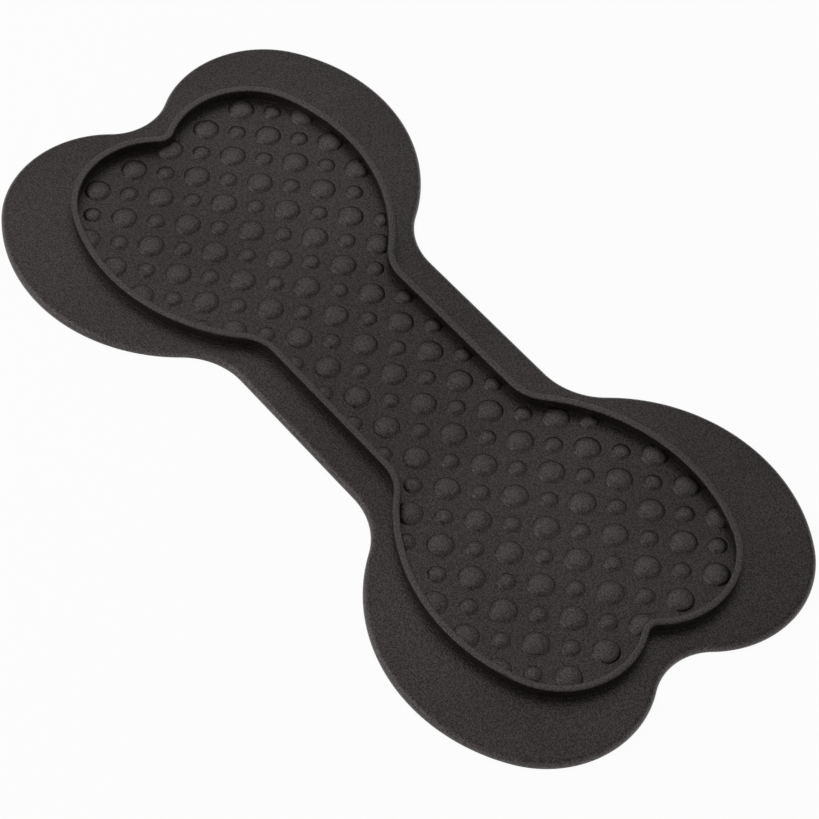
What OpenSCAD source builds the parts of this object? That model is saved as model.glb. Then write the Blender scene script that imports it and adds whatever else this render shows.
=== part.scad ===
// Bone-shaped lick mat, moulded in one piece from rubber.
//
// A flat sheet carries a raised rim, and inside the rim a field of large and small bumps
// holds soft food. The mat lies on the XY plane with its long axis along X, and the origin
// is on the ground under its centre. The moulding is split where one feature ends and the
// next begins, so the pieces meet face to face.

/* [Mat outline] */
// Length over both ends
mat_len = 253; // [215:1:300]
// Width over the lobes
mat_w = 125.5; // [105:0.5:150]
// Width across the waist
waist_w = 68; // [56:1:84]
// Radius of the round at each corner of an end
corner_r = 30.5; // [27:0.5:35]
// Radius of the long crown along the side of each lobe
crown_r = 52.5; // [44:0.5:62]
// Direction, in degrees from the long axis, in which a corner's round turns into the crown
crown_angle = 55; // [46:0.5:64]
// Radius of the hollow between a lobe and the waist
waist_fillet_r = 21; // [14:0.5:26]
// Radius of the hollow in the middle of each end, as a share of the distance between the
// centres of the end's two corner rounds
notch_share = 0.29; // [0.2:0.01:0.4]

/* [Sheet] */
// Thickness of the sheet
sheet_t = 2.2; // [1.6:0.1:4]
// Radius of the sheet's upper outer edge
edge_r = 1.6; // [0.5:0.1:2]

/* [Rim] */
// Height of the rim above the sheet
rim_h = 3.8; // [2:0.1:6]
// Thickness of the rim
rim_t = 2; // [1.4:0.1:3]
// Radius of the rim's upper edges
rim_edge_r = 0.35; // [0.2:0.05:0.6]
// Distance from the mat's edge to the middle of the rim at the ends
border_end = 14.8; // [9:0.1:20]
// Distance from the mat's edge to the middle of the rim at the sides of the lobes
border_lobe = 20; // [13:0.1:25]
// Distance from the mat's edge to the middle of the rim along the waist
border_waist = 11.7; // [7:0.1:15]
// Radius of the rim's round at each corner of an end
rim_corner_r = 23.5; // [20:0.5:27]
// Radius of the rim's long crown along the side of each lobe
rim_crown_r = 58.5; // [50:0.5:66]
// Direction, in degrees from the long axis, in which the rim's corner turns into its crown
rim_crown_angle = 67; // [58:0.5:74]
// Radius of the rim's bend between a lobe and the waist
rim_fillet_r = 13.5; // [10:0.5:20]
// Radius of the rim's bend in the middle of each end, as a share of the distance between
// the centres of its two corner rounds there
rim_notch_share = 0.12; // [0.08:0.01:0.25]

/* [Bumps] */
// Distance between neighbouring large bumps, along and across the mat
bump_pitch = 13; // [11:0.25:17]
// Diameter of a large bump
large_d = 7.2; // [5:0.1:8.5]
// Height of a large bump
large_h = 1.1; // [0.8:0.1:2]
// Diameter of a small bump
small_d = 4.9; // [3:0.1:6]
// Height of a small bump
small_h = 0.8; // [0.5:0.1:1.6]
// Part of a bump's width that the rim must leave standing for the bump to be made
bump_keep = 3.2; // [2:0.1:4]

/* [Hidden] */

rubber = [0.17, 0.16, 0.16];
rubber_top = [0.24, 0.23, 0.23];

quarter_turn = 90;

// Steps along each arc of an outline
notch_steps = 7;
corner_steps = 15;
crown_steps = 15;
fillet_steps = 8;
// Steps round the sheet's edge and round the rim's upper edges
edge_steps = 4;
rim_edge_steps = 2;
// Smoothness of a bump
bump_fn = 32;
// Share of a bump's height that is its upright wall, under the rounded top
bump_wall_share = 0.3;
// Most of the sheet's thickness that its rounded edge may take
edge_share = 0.85;
// Most of the rim's half thickness that a rounded edge may take
rim_edge_share = 0.8;

// Middle of the rim, from the mat's own sizes
rim_len = mat_len - 2 * border_end;
rim_w = mat_w - 2 * border_lobe;
rim_waist_w = waist_w - 2 * border_waist;
mat_h = sheet_t + rim_h;

// One step of an arc: the point, and the direction square to the outline that points away
// from the material. A round has side 1, a hollow has side -1.
function arc(c, r, a0, a1, steps, side) = [
    for (i = [0 : steps - 1])
    let (a = a0 + (a1 - a0) * i / steps, dir = [cos(a), sin(a)])
    [c + r * dir, side * dir]
];

function angle_to(p, q) = atan2(q.y - p.y, q.x - p.x);

// A quarter of a bone, from the middle of its end to the waist, as four arcs that pass
// smoothly into each other: the end's hollow, the corner, the lobe's crown and the hollow
// next to the waist.
function bone_quarter(len, w, waist, corner, crown, crown_a, fillet, hollow_share) =
    let (
        corner_x = len / 2 - corner,
        crown_y = w / 2 - crown,
        lift = crown - corner,
        corner_c = [corner_x, crown_y + lift * sin(crown_a)],
        crown_c = [corner_x - lift * cos(crown_a), crown_y],
        notch = 2 * corner_c.y * hollow_share,
        notch_dx = sqrt(pow(corner + notch, 2) - pow(corner_c.y, 2)),
        notch_c = [corner_x + notch_dx, 0],
        fillet_y = waist / 2 + fillet,
        fillet_dx = sqrt(pow(crown + fillet, 2) - pow(fillet_y - crown_y, 2)),
        fillet_c = [crown_c.x - fillet_dx, fillet_y],
        end_a = angle_to(notch_c, corner_c),
        side_a = angle_to(crown_c, fillet_c)
    )
    concat(
        arc(notch_c, notch, 2 * quarter_turn, end_a, notch_steps, -1),
        arc(corner_c, corner, end_a - 2 * quarter_turn, crown_a, corner_steps, 1),
        arc(crown_c, crown, crown_a, side_a, crown_steps, 1),
        arc(fillet_c, fillet, side_a - 2 * quarter_turn, -quarter_turn, fillet_steps, -1),
        [[[fillet_c.x, waist / 2], [0, 1]]]
    );

function mirrored(quarter, sx, sy) = [
    for (s = quarter) [for (v = s) [sx * v.x, sy * v.y]]
];
function backwards(list) = [for (i = [len(list) - 1 : -1 : 0]) list[i]];
function without_first(list) = [for (i = [1 : len(list) - 1]) list[i]];

// The whole outline, counterclockwise, with the middle of each end only once
function bone(quarter) = concat(
    quarter,
    backwards(mirrored(quarter, -1, 1)),
    without_first(mirrored(quarter, -1, -1)),
    backwards(without_first(mirrored(quarter, 1, -1)))
);

mat_line = bone(bone_quarter(
    mat_len, mat_w, waist_w, corner_r, crown_r, crown_angle, waist_fillet_r, notch_share));
rim_line = bone(bone_quarter(
    rim_len, rim_w, rim_waist_w, rim_corner_r, rim_crown_r, rim_crown_angle,
    rim_fillet_r, rim_notch_share));

// An outline moved outwards by d, flat and at a height
function moved(line, d) = [for (s = line) s[0] + d * s[1]];
function ring(line, d, z) = [for (p = moved(line, d)) [p.x, p.y, z]];

basin_line = moved(rim_line, -rim_t / 2);

// A closed frame through a list of rings, the last of which joins the first again
module frame(rings) {
    n = len(rings[0]);
    m = len(rings);
    points = [for (r = rings) each r];
    faces = [
        for (k = [0 : m - 1], i = [0 : n - 1])
        let (
            a = k * n + i,
            b = k * n + (i + 1) % n,
            c = ((k + 1) % m) * n + (i + 1) % n,
            d = ((k + 1) % m) * n + i
        )
        each [[a, c, b], [a, d, c]]
    ];
    polyhedron(points, faces, convexity = 4);
}

// The sheet outside the rim, with its rounded upper edge
module border() {
    r = min(edge_r, sheet_t * edge_share);
    inner = rim_t / 2;
    edge = [
        for (i = [0 : edge_steps])
        let (a = quarter_turn * i / edge_steps)
        ring(mat_line, r * cos(a) - r, sheet_t - r + r * sin(a))
    ];
    color(rubber)
        frame(concat(
            [ring(rim_line, inner, 0), ring(mat_line, 0, 0)],
            edge,
            [ring(rim_line, inner, sheet_t)]
        ));
}

// The rim, from the ground to its narrow flat top
module rim() {
    half = rim_t / 2;
    r = min(rim_edge_r, half * rim_edge_share);
    outer_edge = [
        for (i = [0 : rim_edge_steps])
        let (a = quarter_turn * i / rim_edge_steps)
        ring(rim_line, half - r + r * cos(a), mat_h - r + r * sin(a))
    ];
    inner_edge = [
        for (i = [0 : rim_edge_steps])
        let (a = quarter_turn + quarter_turn * i / rim_edge_steps)
        ring(rim_line, r - half + r * cos(a), mat_h - r + r * sin(a))
    ];
    color(rubber_top)
        frame(concat(
            [ring(rim_line, -half, 0), ring(rim_line, half, 0)],
            outer_edge,
            inner_edge
        ));
}

// The sheet inside the rim, which the bumps stand on
module lick_floor() {
    color(rubber)
        linear_extrude(sheet_t)
            polygon(basin_line);
}

// Distance from a place to the rim's inner face, negative on its far side
function gap_to_edge(p, a, b) =
    let (
        ab = b - a,
        t = max(0, min(1, (p - a) * ab / (ab * ab)))
    )
    norm(p - a - t * ab);
function is_left(p, a, b) = cross(b - a, p - a) > 0;
function inset(p) =
    let (
        n = len(basin_line),
        gaps = [for (i = [0 : n - 1]) gap_to_edge(p, basin_line[i], basin_line[(i + 1) % n])],
        gap = min(gaps),
        i = search(gap, gaps)[0]
    )
    is_left(p, basin_line[i], basin_line[(i + 1) % n]) ? gap : -gap;

// Places of the bumps inside the rim: the large ones on a square grid with one in the
// middle of the mat, the small ones half a pitch further each way.
function places(d, shift) =
    let (
        nx = ceil(rim_len / 2 / bump_pitch),
        ny = ceil(rim_w / 2 / bump_pitch)
    )
    [
        for (i = [-nx : nx], j = [-ny : ny])
        let (p = [(i + shift) * bump_pitch, (j + shift) * bump_pitch])
        if (inset(p) + d / 2 >= bump_keep) p
    ];

// One bump: an upright wall under a rounded top
module bump(d, h) {
    cap_h = h * (1 - bump_wall_share);
    cap_r = (pow(d / 2, 2) + pow(cap_h, 2)) / (2 * cap_h);
    intersection() {
        cylinder(h = h, d = d, $fn = bump_fn);
        translate([0, 0, h - cap_r])
            sphere(r = cap_r, $fn = 4 * bump_fn);
    }
}

// A field of bumps on the floor. Those that reach the rim are cut at its inner face.
module bumps(d, h, shift) {
    field = places(d, shift);
    for (p = field)
        if (inset(p) >= d / 2)
            translate([p.x, p.y, sheet_t])
                bump(d, h);
    intersection() {
        translate([0, 0, sheet_t])
            linear_extrude(h)
                polygon(basin_line);
        for (p = field)
            if (inset(p) < d / 2)
                translate([p.x, p.y, sheet_t])
                    bump(d, h);
    }
}

module large_bumps() {
    color(rubber_top)
        bumps(large_d, large_h, 0);
}

module small_bumps() {
    color(rubber_top)
        bumps(small_d, small_h, 0.5);
}

border();
rim();
lick_floor();
large_bumps();
small_bumps();
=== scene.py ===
"""A bone-shaped lick mat, moulded in one piece from black rubber.

The mat lies on the XY plane with its long axis along X, in metres. Its flat sheet carries a
raised rim, and inside the rim a field of large and small bumps holds soft food. Each moulded
feature is worked out as a surface with numpy and stands for the solid of the same name.
"""

import math

import bpy
import numpy as np
from bpy.props import FloatProperty, FloatVectorProperty, IntProperty, PointerProperty
from bpy.types import Operator, Panel, PropertyGroup
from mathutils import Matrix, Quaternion, Vector


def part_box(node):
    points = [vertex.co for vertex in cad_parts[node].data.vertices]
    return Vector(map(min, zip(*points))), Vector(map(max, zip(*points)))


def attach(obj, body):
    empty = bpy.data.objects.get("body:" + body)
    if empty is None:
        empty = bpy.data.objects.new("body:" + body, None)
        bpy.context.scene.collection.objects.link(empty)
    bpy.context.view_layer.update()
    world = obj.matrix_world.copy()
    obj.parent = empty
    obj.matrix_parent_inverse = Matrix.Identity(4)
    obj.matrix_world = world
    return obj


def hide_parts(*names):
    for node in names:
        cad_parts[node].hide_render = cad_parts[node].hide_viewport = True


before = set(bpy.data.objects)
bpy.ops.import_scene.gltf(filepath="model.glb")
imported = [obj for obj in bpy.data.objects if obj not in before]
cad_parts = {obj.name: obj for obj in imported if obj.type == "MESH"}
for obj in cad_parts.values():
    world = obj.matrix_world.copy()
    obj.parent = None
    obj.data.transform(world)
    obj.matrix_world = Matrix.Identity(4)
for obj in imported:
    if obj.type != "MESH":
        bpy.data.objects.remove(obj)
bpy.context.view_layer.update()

bl_info = {
    "name": "Lick Mat",
    "version": (1, 0, 0),
    "blender": (4, 5, 0),
    "location": "3D View > Sidebar > Lick Mat",
    "description": "Makes a bone-shaped rubber lick mat and the plain studio it lies in",
    "category": "Add Mesh",
}

MM = 0.001

# Steps of the surfaces. A quarter of a bone has the end's hollow, the corner, the crown and
# the hollow next to the waist.
ARC_STEPS = (12, 48, 48, 28)
LOWER_EDGE_STEPS = 3
RIM_FOOT_STEPS = 4
RIM_TOP_STEPS = 8
LARGE_SIDES, SMALL_SIDES = 20, 16
# Rows of the lick floor, as shares of the way from its spine to its outline
FLOOR_ROWS = (0.0, 0.5, 1.0)
# Neighbouring faces that meet at a larger angle than this keep a sharp edge
SHARP_ANGLE = math.radians(50)
# Width of a narrow strip next to a rounded edge that keeps the shading of the flat even
CALM = 0.5 * MM

# Power of the cosine and sine in the rim's rounded top: under 1, it is squarer than an ellipse
TOP_POWER = 0.6
# How far the steps of a bump's foot and wall lie outside its radius, in widths of the foot
FOOT_SPREAD = (1.0, 0.3, -0.1)
# Height of the foot's second step, as a share of the bump's height
FOOT_RISE = 0.1
# Radii of the steps of a bump's cap, as shares of the bump's radius
CAP_STEPS = (0.93, 0.68, 0.36)
# How far the cap falls on its way to the bump's radius, as a share of its height over the wall
CAP_FALL = 0.92

RUBBER_IOR = 1.55
# Part of a noise's range in which nearly all its values lie
NOISE_LOW, NOISE_HIGH = 0.35, 0.65
# Darkest and lightest grain, as a share of the rubber's colour and sheen
SPECK_LOW, SPECK_HIGH = 0.6, 1.4
# Weakest and strongest patch of sheen, where 0.5 is what the index of refraction gives
PATCH_LOW, PATCH_HIGH = 0.43, 0.55
# Heights over the sheet between which the painted highlight on the tops begins
HIGHLIGHT_LOW, HIGHLIGHT_HIGH = 0.3 * MM, 0.7 * MM
# Upward part of the normal from which a top begins to count as level and takes the painted
# highlight
LEVEL_FROM = 0.8
# Share of the sheet's thickness up to which its outer edge takes the full painted highlight
EDGE_SHARE = 0.9

# Half the floor's width, in metres
FLOOR_HALF = 3
# Part of the seen floor that is plain white. The rest keeps the mat's shadow.
PLAIN_WHITE = 0.94
# Heights in the room are the upward part of a direction. Up to the first one it is white, and
# it has turned grey at the second one on the far side and at the third one on the near side.
WHITE_TO, GREY_FAR, GREY_NEAR = 0.1, 0.2, 0.8
# Where the far side ends and the near side begins, as the part of a direction that points to
# the camera's side
FAR_END, NEAR_START = -0.3, 0.2
SENSOR_MM = 36.0

MAT_LOW, MAT_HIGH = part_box("border")
MAT_SIZE = MAT_HIGH - MAT_LOW
RIM_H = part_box("rim")[1].z - MAT_HIGH.z
LARGE_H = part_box("large_bumps")[1].z - MAT_HIGH.z
SMALL_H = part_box("small_bumps")[1].z - MAT_HIGH.z


def linear(code):
    """Linear red, green and blue of an sRGB hex value."""
    s = [int(code[i : i + 2], 16) / 255 for i in (1, 3, 5)]
    return tuple(v / 12.92 if v <= 0.04045 else ((v + 0.055) / 1.055) ** 2.4 for v in s)


def length(name, description, mm):
    """A size the user may change, given here in millimetres."""
    return FloatProperty(
        name=name, description=description, default=mm * MM, min=0.0, unit="LENGTH",
        subtype="DISTANCE", precision=5)


def turn(name, description, degrees):
    """An angle the user may change, given here in degrees."""
    return FloatProperty(
        name=name, description=description, default=math.radians(degrees), subtype="ANGLE",
        unit="ROTATION")


def share(name, description, default):
    """A part of one that the user may change."""
    return FloatProperty(
        name=name, description=description, default=default, min=0.0, max=1.0,
        subtype="FACTOR")


def colour(name, description, code):
    """A colour the user may change, given here as an sRGB hex value."""
    return FloatVectorProperty(
        name=name, description=description, default=linear(code), min=0.0, max=1.0,
        size=3, subtype="COLOR")


def place(name, description, default):
    """A point the user may move, given here in metres."""
    return FloatVectorProperty(
        name=name, description=description, default=default, size=3, unit="LENGTH",
        subtype="TRANSLATION")


def power(name, description, watts):
    """A lamp's power, given here in watts."""
    return FloatProperty(
        name=name, description=description, default=watts, min=0.0, subtype="POWER",
        unit="POWER")


class LickMatSheet(PropertyGroup):
    """Sizes of the mat's outline and sheet"""

    mat_len: length("Length", "Length over both ends", MAT_SIZE.x / MM)
    mat_w: length("Width", "Width over the lobes", MAT_SIZE.y / MM)
    waist_w: length("Waist", "Width across the waist", 68)
    corner_r: length("Corner radius", "Radius of the round at each corner of an end", 30.5)
    crown_r: length("Crown radius", "Radius of the long crown along a lobe's side", 52.5)
    crown_turn: turn("Crown turn", "Direction in which a corner turns into the crown", 55)
    fillet_r: length("Waist radius", "Radius of the hollow between a lobe and the waist", 21)
    notch: share("Notch", "Radius of an end's hollow, as a part of the distance between its "
                 "two rounds", 0.29)
    sheet_t: length("Thickness", "Thickness of the sheet", MAT_SIZE.z / MM)
    edge_r: length("Upper edge radius", "Radius of the sheet's upper outer edge", 1.6)
    foot_r: length("Lower edge radius", "Radius of the sheet's lower outer edge", 0.2)


class LickMatRim(PropertyGroup):
    """Sizes of the raised rim"""

    rim_h: length("Height", "Height of the rim over the sheet", RIM_H / MM)
    rim_t: length("Thickness", "Thickness of the rim", 2)
    top_h: length("Rounded top", "Height of the rim's rounded top", 0.5)
    foot_r: length("Foot radius", "Radius of the hollow where the rim meets the sheet", 0.04)
    end_gap: length("Gap at the ends", "From the mat's edge to the rim's middle, at an end",
                    14.8)
    lobe_gap: length("Gap at the lobes", "From the mat's edge to the rim's middle, at a lobe",
                     20)
    waist_gap: length("Gap at the waist",
                      "From the mat's edge to the rim's middle, at the waist", 11.7)
    corner_r: length("Corner radius", "Radius of the rim's round at each corner", 23.5)
    crown_r: length("Crown radius", "Radius of the rim's long crown along a lobe", 58.5)
    crown_turn: turn("Crown turn", "Direction in which a corner turns into the crown", 67)
    fillet_r: length("Waist radius", "Radius of the rim's bend next to the waist", 13.5)
    notch: share("Notch", "Radius of the rim's bend in the middle of an end, as a part of the "
                 "distance between its two rounds", 0.12)


class LickMatBumps(PropertyGroup):
    """Sizes of the bumps"""

    pitch: length("Pitch", "Distance between neighbouring large bumps", 13)
    large_d: length("Large diameter", "Diameter of a large bump", 7.2)
    large_h: length("Large height", "Height of a large bump", LARGE_H / MM)
    small_d: length("Small diameter", "Diameter of a small bump", 4.9)
    small_h: length("Small height", "Height of a small bump", SMALL_H / MM)
    wall: share("Wall", "Part of a bump's height that is its steep wall", 0.3)
    keep: length("Least part", "Part of a bump's width that the rim must leave standing", 3.2)
    foot_w: length("Foot width", "Width of the hollow where a bump meets the sheet", 0.3)


class LickMatRubber(PropertyGroup):
    """Colour and surface of the rubber"""

    body: colour("Rubber", "Colour of the rubber", "#100A0A")
    # The lighter colour is a painted highlight on the level tops and the mat's outer edge
    rubbed: colour("Highlight rubber", "Colour of the tops and the outer edge, where it is "
                   "rubbed", "#322E2E")
    sheen: colour("Sheen", "Tint of the rubber's sheen", "#FFF3F2")
    grain: length("Grain", "Width of one grain of the mould's matt finish", 0.46)
    grain_depth: length("Grain depth", "Depth of the grain", 0.14)
    cloud: length("Cloud", "Width of the faint patches of sheen on the sheet", 55)
    cloud_shift: place("Cloud shift", "Shift of the patches of sheen", (0.141, 1.984, 0.122))
    roughness: share("Roughness", "Roughness of the moulded surface", 0.38)


class LickMatStage(PropertyGroup):
    """The studio: camera, lamps and floor"""

    azimuth: turn("Azimuth", "Camera's direction round the mat", 48.14)
    elevation: turn("Elevation", "Camera's height over the horizon", 53.5)
    roll: turn("Roll", "Camera's turn about its own axis", 3.4)
    distance: length("Distance", "From the camera to its target", 799.5)
    target: place("Target", "Point that the camera looks at", (0.01261, -0.00457, 0.003))
    lens: FloatProperty(
        name="Lens", description="Focal length in millimetres", default=128.09, min=1.0,
        unit="CAMERA")
    key_power: power("Key lamp", "Power of the large soft lamp", 1.65)
    key_place: place("Key place", "Middle of the large soft lamp", (-0.5, 0.22, 0.95))
    key_size: length("Key size", "Width of the large soft lamp", 1050)
    side_power: power("Side lamp", "Power of the low lamp on the left", 3.6)
    side_place: place("Side place", "Middle of the low lamp", (-0.46, -0.735, 0.59))
    side_size: length("Side size", "Width of the low lamp", 1100)
    fill: FloatProperty(
        name="Fill", description="Strength of the light from all round", default=0.4, min=0.0)
    ceiling: FloatProperty(
        name="Ceiling", description="Strength of the ceiling, where a gloss shows it",
        default=0.42, min=0.0)
    floor: colour("Floor", "Colour of the floor", "#FAFAFA")


class LickMatSettings(PropertyGroup):
    """All that the user may change"""

    sheet: PointerProperty(type=LickMatSheet)
    rim: PointerProperty(type=LickMatRim)
    bumps: PointerProperty(type=LickMatBumps)
    rubber: PointerProperty(type=LickMatRubber)
    stage: PointerProperty(type=LickMatStage)
    edge_steps: IntProperty(
        name="Edge steps", description="Steps round each rounded edge", default=8, min=2)


# Outlines. A line is an array of steps, each with a point and the way out of the material.

def arc(centre, radius, start, end, steps, side):
    """Centre plus radius times the direction at evenly spaced angles, without the last one.

    The way out is that direction on a round, side 1, and its opposite in a hollow, side -1.
    """
    angle = start + (end - start) * np.arange(steps) / steps
    way = np.stack([np.cos(angle), np.sin(angle)], axis=1)
    return np.stack([centre + radius * way, side * way], axis=1)


def bone_line(size, width, waist, corner, crown, lean, fillet, hollow_share):
    """Closed outline of a bone, counterclockwise, from four quarters that mirror each other.

    A quarter is four arcs that pass smoothly into each other: the hollow in the end, the
    corner, the lobe's crown, and the hollow next to the waist. The corner's centre lies on
    the line that leaves the crown's centre in the direction lean. A hollow's centre is as
    far from the round next to it as both radii together, and the end's hollow has a radius
    that is a share of the distance between the end's two rounds.
    """
    lift = crown - corner
    crown_c = np.array([size / 2 - corner - lift * math.cos(lean), width / 2 - crown])
    corner_c = crown_c + lift * np.array([math.cos(lean), math.sin(lean)])
    notch = 2 * corner_c[1] * hollow_share
    notch_dx = math.sqrt((corner + notch) ** 2 - corner_c[1] ** 2)
    notch_c = np.array([corner_c[0] + notch_dx, 0.0])
    fillet_dy = waist / 2 + fillet - crown_c[1]
    fillet_dx = math.sqrt((crown + fillet) ** 2 - fillet_dy ** 2)
    fillet_c = crown_c + np.array([-fillet_dx, fillet_dy])
    end = math.atan2(*(corner_c - notch_c)[::-1])
    side = math.atan2(*(fillet_c - crown_c)[::-1])
    quarter = np.concatenate([
        arc(notch_c, notch, math.pi, end, ARC_STEPS[0], -1),
        arc(corner_c, corner, end - math.pi, lean, ARC_STEPS[1], 1),
        arc(crown_c, crown, lean, side, ARC_STEPS[2], 1),
        arc(fillet_c, fillet, side - math.pi, -math.pi / 2, ARC_STEPS[3], -1),
        [[[fillet_c[0], waist / 2], [0.0, 1.0]]],
    ])
    return np.concatenate([
        quarter,
        (quarter * [-1, 1])[::-1],
        (quarter * [-1, -1])[1:],
        (quarter * [1, -1])[:0:-1],
    ])


def mat_line(sheet):
    """Outline of the whole mat."""
    return bone_line(
        sheet.mat_len, sheet.mat_w, sheet.waist_w, sheet.corner_r, sheet.crown_r,
        sheet.crown_turn, sheet.fillet_r, sheet.notch)


def rim_line(sheet, rim):
    """Middle of the rim, which follows the mat's outline at three gaps."""
    return bone_line(
        sheet.mat_len - 2 * rim.end_gap, sheet.mat_w - 2 * rim.lobe_gap,
        sheet.waist_w - 2 * rim.waist_gap, rim.corner_r, rim.crown_r, rim.crown_turn,
        rim.fillet_r, rim.notch)


def ring(line, out, z):
    """The line moved out by out, at the height z."""
    return np.column_stack([line[:, 0] + out * line[:, 1], np.full(len(line), z)])


def basin_line(sheet, rim):
    """Outline of the lick floor on the ground, at the rim's inner face."""
    return ring(rim_line(sheet, rim), -rim.rim_t / 2, 0)


def rings(line, profile):
    """The line at each step of a profile, whose steps give a way out and a height."""
    return np.stack([ring(line, out, z) for out, z in profile])


def bend(centre, radius, start, end, steps):
    """Steps of a profile along an arc: centre plus radius times the direction.

    The directions at its start and end are given in degrees.
    """
    angle = np.radians(np.linspace(start, end, steps + 1))
    return np.column_stack([
        centre[0] + radius * np.cos(angle), centre[1] + radius * np.sin(angle)])


# Surfaces

def grid_faces(rows, columns, closed):
    """Quads between neighbouring rows of a grid whose columns close round.

    The last row joins the first again where closed is true.
    """
    row = np.arange(rows if closed else rows - 1)[:, None]
    column = np.arange(columns)[None, :]
    after, above = (column + 1) % columns, (row + 1) % rows
    return np.stack([
        row * columns + column, row * columns + after,
        above * columns + after, above * columns + column], axis=2).reshape(-1, 4)


def make_piece(name, points, faces, material):
    """Adds a smooth mesh object at the origin that stands for the solid of the same name."""
    mesh = bpy.data.meshes.new(name)
    mesh.from_pydata(points.reshape(-1, 3).tolist(), [], [f.tolist() for f in faces])
    if mesh.validate():
        raise RuntimeError(f"{name}: the surface has faces that don't hold together")
    mesh.shade_smooth()
    mesh.set_sharp_from_angle(angle=SHARP_ANGLE)
    mesh.materials.append(material)
    piece = bpy.data.objects.new(name + "_moulding", mesh)
    bpy.context.scene.collection.objects.link(piece)
    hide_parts(name)
    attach(piece, "root")


def gap_to_line(xy, points):
    """Distance from each place to a closed line, negative outside it, and the nearest point.

    For each place and each straight piece of the line, the foot of the perpendicular is kept
    within the piece. The nearest one counts, and the side comes from the piece's direction.
    """
    start = points[None]
    along = np.roll(points, -1, axis=0)[None] - start
    away = xy[:, None] - start
    t = np.clip((away * along).sum(2) / (along ** 2).sum(2), 0, 1)
    foot = start + t[..., None] * along
    gap = np.linalg.norm(xy[:, None] - foot, axis=2)
    best = gap.argmin(axis=1)
    at = np.arange(len(xy))
    side = along[0, best, 0] * away[at, best, 1] - along[0, best, 1] * away[at, best, 0]
    return np.where(side > 0, 1, -1) * gap[at, best], foot[at, best]


def bump_places(basin, pitch, diameter, shift, keep):
    """Places of one kind of bump: a square grid, kept where the rim leaves enough of a bump."""
    half = np.ceil(basin.max(axis=0) / pitch) + 1
    x, y = np.meshgrid(np.arange(-half[0], half[0] + 1), np.arange(-half[1], half[1] + 1))
    xy = (np.column_stack([x.ravel(), y.ravel()]) + shift) * pitch
    gap = gap_to_line(xy, basin)[0]
    return xy[gap + diameter / 2 >= keep]


def bump_field(places, basin, diameter, height, wall, foot, base, around):
    """Points and faces of a field of bumps, each a turned profile.

    From the ground up, the profile is a hollow foot that spreads out over the sheet, a
    steep wall, a rounded shoulder and a cap, whose height falls from its middle with the
    square of the radius. What would pass the rim's inner face is moved back onto it. A point
    at each end of the profile closes it.
    """
    r = diameter / 2
    cap = np.array(CAP_STEPS)
    radius = np.concatenate([r + foot * np.array(FOOT_SPREAD), r * cap])
    z = height * np.concatenate([[0, FOOT_RISE, wall], 1 - (1 - wall) * CAP_FALL * cap ** 2])
    angle = 2 * math.pi * np.arange(around) / around
    ways = np.stack([np.cos(angle), np.sin(angle)], axis=1)
    count, rows = len(places), len(radius)

    # Each bump has its rows of points, then the middle of its bottom and of its top
    sides_xy = places[:, None, None] + radius[None, :, None, None] * ways[None, None]
    middle = places[:, None]
    xy = np.concatenate([sides_xy.reshape(count, -1, 2), middle, middle], axis=1)
    flat = xy.reshape(-1, 2)
    near = np.repeat(gap_to_line(places, basin)[0] < r + foot, xy.shape[1])
    gap, nearest = gap_to_line(flat[near], basin)
    flat[near] = np.where((gap < 0)[:, None], nearest, flat[near])
    height_of = np.concatenate([np.repeat(z, around), [0, height]])
    points = np.column_stack([flat, base + np.tile(height_of, count)])

    first = np.arange(around)
    after = (first + 1) % around
    last = (rows - 1) * around
    bottom = np.stack([after, first, np.full(around, rows * around)], axis=1)
    top = np.stack([last + first, last + after, np.full(around, rows * around + 1)], axis=1)
    move = (np.arange(count) * xy.shape[1])[:, None, None]
    quads = (grid_faces(rows, around, False)[None] + move).reshape(-1, 4)
    tris = (np.concatenate([bottom, top])[None] + move).reshape(-1, 3)
    return points, [*quads, *tris]


# Materials

def add_node(tree, kind, inputs=None, **settings):
    """Adds a node with its settings. Each input is given a value, or linked to an output.

    An input goes by its name, or by its number where several share a name: the mix node has
    its values at 2 and 3 and its colours at 6 and 7, and its result as a colour is output 2.
    """
    node = tree.nodes.new(kind)
    for name, value in settings.items():
        setattr(node, name, value)
    for name, value in (inputs or {}).items():
        if isinstance(value, bpy.types.NodeSocket):
            tree.links.new(value, node.inputs[name])
        else:
            node.inputs[name].default_value = value
    return node


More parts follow.
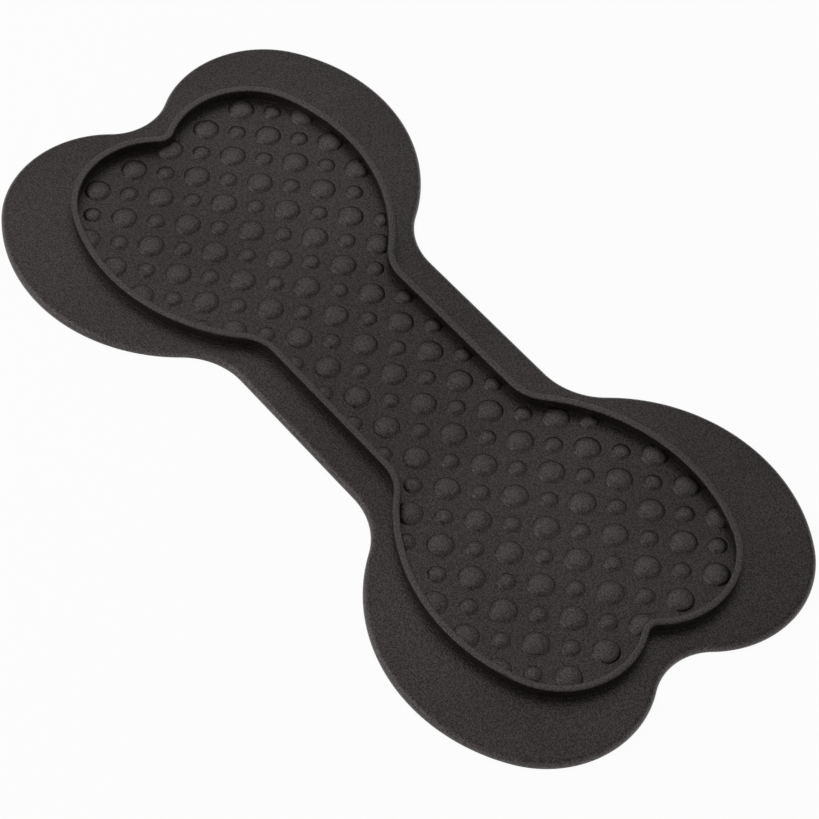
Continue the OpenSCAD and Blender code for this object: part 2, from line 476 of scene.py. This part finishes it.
def moulded_rubber(settings):
    """Black rubber as it leaves an etched mould.

    A fine matt grain breaks up the light, in tone, sheen and relief. The level tops of the rim
    and the bumps and the mat's outer edge are painted lighter, as a painted highlight. Faint
    patches of sheen lie on the sheet.
    """
    found = bpy.data.materials.get("moulded_black_rubber")
    if found:
        return found
    look, sheet = settings.rubber, settings.sheet
    material = bpy.data.materials.new("moulded_black_rubber")
    material.use_nodes = True
    tree = material.node_tree
    tree.nodes.clear()
    where = add_node(tree, "ShaderNodeTexCoord").outputs
    spot = where["Object"]
    # The real grain is about 0.1 mm; it is drawn at 0.46 mm so that it shows in the render
    grain = add_node(tree, "ShaderNodeTexNoise", {
        "Vector": spot, "Scale": 1 / look.grain, "Detail": 1.0}).outputs[0]
    # Shifted so that the lightest patches lie on the same lobes as in the photograph
    shifted = add_node(tree, "ShaderNodeVectorMath", {0: spot, 1: tuple(look.cloud_shift)},
                       operation="ADD").outputs[0]
    cloud = add_node(tree, "ShaderNodeTexNoise", {
        "Vector": shifted, "Scale": 1 / look.cloud, "Detail": 1.5}).outputs[0]
    # Painted highlight where the rubber lies over the sheet and is level, and down the sheet's
    # outer edge
    high = add_node(tree, "ShaderNodeSeparateXYZ", {"Vector": spot}).outputs["Z"]
    raised = add_node(tree, "ShaderNodeMapRange", {
        "Value": high, "From Min": sheet.sheet_t + HIGHLIGHT_LOW,
        "From Max": sheet.sheet_t + HIGHLIGHT_HIGH}).outputs[0]
    facing = add_node(tree, "ShaderNodeSeparateXYZ", {"Vector": where["Normal"]}).outputs["Z"]
    level = add_node(tree, "ShaderNodeMapRange", {
        "Value": facing, "From Min": LEVEL_FROM, "From Max": 1.0}).outputs[0]
    tops = add_node(tree, "ShaderNodeMath", {0: raised, 1: level}, operation="MULTIPLY")
    edge = add_node(tree, "ShaderNodeMapRange", {
        "Value": high, "From Min": EDGE_SHARE * sheet.sheet_t, "From Max": sheet.sheet_t,
        "To Min": 1.0, "To Max": 0.0})
    rubbed = add_node(tree, "ShaderNodeMath", {0: tops.outputs[0], 1: edge.outputs[0]},
                      operation="MAXIMUM").outputs[0]
    speck = add_node(tree, "ShaderNodeMapRange", {
        "Value": grain, "From Min": NOISE_LOW, "From Max": NOISE_HIGH, "To Min": SPECK_LOW,
        "To Max": SPECK_HIGH})
    # The rubber's colour turns to the lighter colour where the highlight is painted
    body = add_node(tree, "ShaderNodeMix", {
        "Factor": rubbed, 6: (*look.body, 1), 7: (*look.rubbed, 1)}, data_type="RGBA")
    speckled = add_node(tree, "ShaderNodeVectorMath", {
        0: body.outputs[2], "Scale": speck.outputs[0]}, operation="SCALE")
    patch = add_node(tree, "ShaderNodeMapRange", {
        "Value": cloud, "From Min": NOISE_LOW, "From Max": NOISE_HIGH, "To Min": PATCH_LOW,
        "To Max": PATCH_HIGH})
    gloss = add_node(tree, "ShaderNodeMath", {
        0: speck.outputs[0], 1: patch.outputs[0]}, operation="MULTIPLY")
    bump = add_node(tree, "ShaderNodeBump", {
        "Height": grain, "Distance": look.grain_depth, "Strength": 1.0})
    shader = add_node(tree, "ShaderNodeBsdfPrincipled", {
        "Base Color": speckled.outputs[0], "Roughness": look.roughness, "IOR": RUBBER_IOR,
        "Specular IOR Level": gloss.outputs[0], "Specular Tint": (*look.sheen, 1),
        "Normal": bump.outputs[0]})
    add_node(tree, "ShaderNodeOutputMaterial", {"Surface": shader.outputs[0]})
    return material


def seen_or_mirrored(tree):
    """One for what the camera sees, straight or in a gloss or through glass, otherwise zero."""
    path = add_node(tree, "ShaderNodeLightPath")
    either = add_node(tree, "ShaderNodeMath", {
        0: path.outputs["Is Camera Ray"], 1: path.outputs["Is Glossy Ray"]},
        operation="MAXIMUM")
    return add_node(tree, "ShaderNodeMath", {
        0: either.outputs[0], 1: path.outputs["Is Transmission Ray"]},
        operation="MAXIMUM").outputs[0]


def painted_floor(stage):
    """White matt board, which is plain white in part and keeps the mat's shadow in part."""
    material = bpy.data.materials.new("white_matt_board")
    material.use_nodes = True
    tree = material.node_tree
    tree.nodes.clear()
    board = add_node(tree, "ShaderNodeBsdfDiffuse", {"Color": (*stage.floor, 1)})
    white = add_node(tree, "ShaderNodeEmission", {"Color": (1, 1, 1, 1), "Strength": 1.0})
    most = add_node(tree, "ShaderNodeMath", {0: seen_or_mirrored(tree), 1: PLAIN_WHITE},
                    operation="MULTIPLY")
    mixed = add_node(tree, "ShaderNodeMixShader", {
        0: most.outputs[0], 1: board.outputs[0], 2: white.outputs[0]})
    add_node(tree, "ShaderNodeOutputMaterial", {"Surface": mixed.outputs[0]})
    return material


def studio_room(stage):
    """Even light from all round. Where it is seen or mirrored, it is a grey and white room.

    The room is white near the ground and grey above. The white turns grey low down on the far
    side and high up on the camera's side, so that near edges mirror more of it.
    """
    world = bpy.data.worlds.new("studio")
    world.use_nodes = True
    tree = world.node_tree
    tree.nodes.clear()
    way = add_node(tree, "ShaderNodeTexCoord").outputs["Object"]
    up = add_node(tree, "ShaderNodeSeparateXYZ", {"Vector": way}).outputs["Z"]
    near = add_node(tree, "ShaderNodeVectorMath", {
        0: way, 1: (math.sin(stage.azimuth), -math.cos(stage.azimuth), 0)},
        operation="DOT_PRODUCT").outputs["Value"]
    reach = add_node(tree, "ShaderNodeMapRange", {
        "Value": near, "From Min": FAR_END, "From Max": NEAR_START, "To Min": GREY_FAR,
        "To Max": GREY_NEAR})
    room = add_node(tree, "ShaderNodeMapRange", {
        "Value": up, "From Min": WHITE_TO, "From Max": reach.outputs[0], "To Min": 1.0,
        "To Max": stage.ceiling})
    strength = add_node(tree, "ShaderNodeMix", {
        0: seen_or_mirrored(tree), 2: stage.fill, 3: room.outputs[0]})
    light = add_node(tree, "ShaderNodeBackground", {
        "Color": (1, 1, 1, 1), "Strength": strength.outputs[0]})
    add_node(tree, "ShaderNodeOutputWorld", {"Surface": light.outputs[0]})
    return world


# Operators

class LickMatOperator:
    """What the operators share"""

    bl_options = {"REGISTER", "UNDO"}

    @classmethod
    def poll(cls, context):
        return context.mode == "OBJECT"


class MESH_OT_lick_mat_border(LickMatOperator, Operator):
    """Makes the sheet outside the rim, with its rounded edges"""

    bl_idname = "mesh.lick_mat_border"
    bl_label = "Border"

    def execute(self, context):
        s = context.scene.lick_mat
        sheet, rim = s.sheet, s.rim
        outer, inner = mat_line(sheet), rim_line(sheet, rim)
        t, top, low = sheet.sheet_t, sheet.edge_r, sheet.foot_r
        # The outer edge is a quarter circle below, an upright wall and a quarter circle above
        edge = np.concatenate([
            bend((-low, low), low, -90, 0, LOWER_EDGE_STEPS),
            bend((-top, t - top), top, 0, 90, s.edge_steps),
            [[-top - CALM, t]],
        ])
        points = np.concatenate([
            ring(inner, rim.rim_t / 2, 0)[None],
            rings(outer, edge),
            rings(inner, [[rim.rim_t / 2 + CALM, t], [rim.rim_t / 2, t]]),
        ])
        make_piece("border", points, grid_faces(*points.shape[:2], True), moulded_rubber(s))
        return {"FINISHED"}


class MESH_OT_lick_mat_rim(LickMatOperator, Operator):
    """Makes the raised rim, with a rounded top and a hollow foot on both sides"""

    bl_idname = "mesh.lick_mat_rim"
    bl_label = "Rim"

    def execute(self, context):
        s = context.scene.lick_mat
        sheet, rim = s.sheet, s.rim
        half, foot, t = rim.rim_t / 2, rim.foot_r, sheet.sheet_t
        high = t + rim.rim_h
        angle = np.linspace(0, math.pi / 2, RIM_TOP_STEPS + 1)
        # Half the top is a quarter of a superellipse: cosine and sine, each to the same power
        top = np.column_stack([
            half * np.cos(angle).clip(0) ** TOP_POWER,
            high - rim.top_h + rim.top_h * np.sin(angle) ** TOP_POWER])
        outside = np.concatenate([
            [[half, 0], [half, t]],
            bend((half + foot, t + foot), foot, -90, -180, RIM_FOOT_STEPS),
            [[half, t + foot + CALM], [half, high - rim.top_h - CALM]],
            top[:-1],
        ])
        inside = outside[::-1] * [-1, 1]
        profile = np.concatenate([outside, [[0, high]], inside])
        points = rings(rim_line(sheet, rim), profile)
        make_piece("rim", points, grid_faces(*points.shape[:2], True), moulded_rubber(s))
        return {"FINISHED"}


class MESH_OT_lick_mat_floor(LickMatOperator, Operator):
    """Makes the sheet inside the rim, which the bumps stand on"""

    bl_idname = "mesh.lick_mat_floor"
    bl_label = "Lick floor"

    def execute(self, context):
        s = context.scene.lick_mat
        sheet, rim = s.sheet, s.rim
        basin = basin_line(sheet, rim)
        # The rows narrow to a spine on the long axis, short of each end by half the width
        reach = basin[:, 0].max() - basin[:, 1].max()
        spine = np.column_stack([
            basin[:, 0].clip(-reach, reach), np.zeros(len(basin)), np.zeros(len(basin))])
        out = np.array(FLOOR_ROWS)[:, None, None]
        under = spine + out * (basin - spine)
        upper = (under + [0, 0, sheet.sheet_t])[::-1]
        points = np.concatenate([under, upper])
        faces = grid_faces(*points.shape[:2], False)
        make_piece("lick_floor", points, faces, moulded_rubber(s))
        return {"FINISHED"}


class MESH_OT_lick_mat_bumps(LickMatOperator, Operator):
    """Makes the two fields of bumps, cut where they reach the rim"""

    bl_idname = "mesh.lick_mat_bumps"
    bl_label = "Bumps"

    def execute(self, context):
        s = context.scene.lick_mat
        sheet, rim, b = s.sheet, s.rim, s.bumps
        basin = basin_line(sheet, rim)[:, :2]
        for name, d, h, shift, around in (
            ("large_bumps", b.large_d, b.large_h, 0.0, LARGE_SIDES),
            ("small_bumps", b.small_d, b.small_h, 0.5, SMALL_SIDES),
        ):
            places = bump_places(basin, b.pitch, d, shift, b.keep)
            points, faces = bump_field(
                places, basin, d, h, b.wall, b.foot_w, sheet.sheet_t, around)
            make_piece(name, points, faces, moulded_rubber(s))
        return {"FINISHED"}


class SCENE_OT_lick_mat_stage(LickMatOperator, Operator):
    """Makes the floor, the light and the camera"""

    bl_idname = "scene.lick_mat_stage"
    bl_label = "Stage"

    def execute(self, context):
        scene = context.scene
        stage = scene.lick_mat.stage
        scene.view_settings.view_transform = "Standard"

        mesh = bpy.data.meshes.new("floor")
        corners = [(x * FLOOR_HALF, y * FLOOR_HALF, 0)
                   for x, y in ((-1, -1), (1, -1), (1, 1), (-1, 1))]
        mesh.from_pydata(corners, [], [(0, 1, 2, 3)])
        mesh.materials.append(painted_floor(stage))
        floor = bpy.data.objects.new("floor", mesh)
        scene.collection.objects.link(floor)

        scene.world = studio_room(stage)

        for name, watts, size, middle in (
            ("key", stage.key_power, stage.key_size, stage.key_place),
            ("side", stage.side_power, stage.side_size, stage.side_place),
        ):
            light = bpy.data.lights.new(name, "AREA")
            light.shape, light.size, light.energy = "DISK", size, watts
            lamp = bpy.data.objects.new(name, light)
            lamp.location = middle
            lamp.rotation_mode = "QUATERNION"
            lamp.rotation_quaternion = (-lamp.location).to_track_quat("-Z", "Y")
            scene.collection.objects.link(lamp)

        target = Vector(stage.target)
        level = math.cos(stage.elevation)
        back = Vector((
            math.sin(stage.azimuth) * level, -math.cos(stage.azimuth) * level,
            math.sin(stage.elevation)))
        data = bpy.data.cameras.new("camera")
        data.sensor_width, data.lens = SENSOR_MM, stage.lens
        camera = bpy.data.objects.new("camera", data)
        camera.location = target + back * stage.distance
        camera.rotation_mode = "QUATERNION"
        camera.rotation_quaternion = (
            (-back).to_track_quat("-Z", "Y") @ Quaternion((0, 0, 1), stage.roll))
        scene.collection.objects.link(camera)
        scene.camera = camera
        return {"FINISHED"}


class VIEW3D_PT_lick_mat(Panel):
    """Lists the settings and the pieces"""

    bl_label = "Lick Mat"
    bl_space_type = "VIEW_3D"
    bl_region_type = "UI"
    bl_category = "Lick Mat"

    def draw(self, context):
        s = context.scene.lick_mat
        for label, group, operators in (
            ("Sheet", s.sheet, ("mesh.lick_mat_border", "mesh.lick_mat_floor")),
            ("Rim", s.rim, ("mesh.lick_mat_rim",)),
            ("Bumps", s.bumps, ("mesh.lick_mat_bumps",)),
            ("Rubber", s.rubber, ()),
            ("Stage", s.stage, ("scene.lick_mat_stage",)),
        ):
            box = self.layout.box()
            box.label(text=label)
            for name in type(group).__annotations__:
                box.prop(group, name)
            for operator in operators:
                box.operator(operator)
        self.layout.prop(s, "edge_steps")


CLASSES = (
    LickMatSheet,
    LickMatRim,
    LickMatBumps,
    LickMatRubber,
    LickMatStage,
    LickMatSettings,
    MESH_OT_lick_mat_border,
    MESH_OT_lick_mat_rim,
    MESH_OT_lick_mat_floor,
    MESH_OT_lick_mat_bumps,
    SCENE_OT_lick_mat_stage,
    VIEW3D_PT_lick_mat,
)


def register():
    for cls in CLASSES:
        bpy.utils.register_class(cls)
    bpy.types.Scene.lick_mat = PointerProperty(type=LickMatSettings)


def unregister():
    del bpy.types.Scene.lick_mat
    for cls in reversed(CLASSES):
        bpy.utils.unregister_class(cls)


def main():
    register()
    bpy.ops.mesh.lick_mat_border()
    bpy.ops.mesh.lick_mat_floor()
    bpy.ops.mesh.lick_mat_rim()
    bpy.ops.mesh.lick_mat_bumps()
    bpy.ops.scene.lick_mat_stage()


if __name__ == "__main__":
    main()
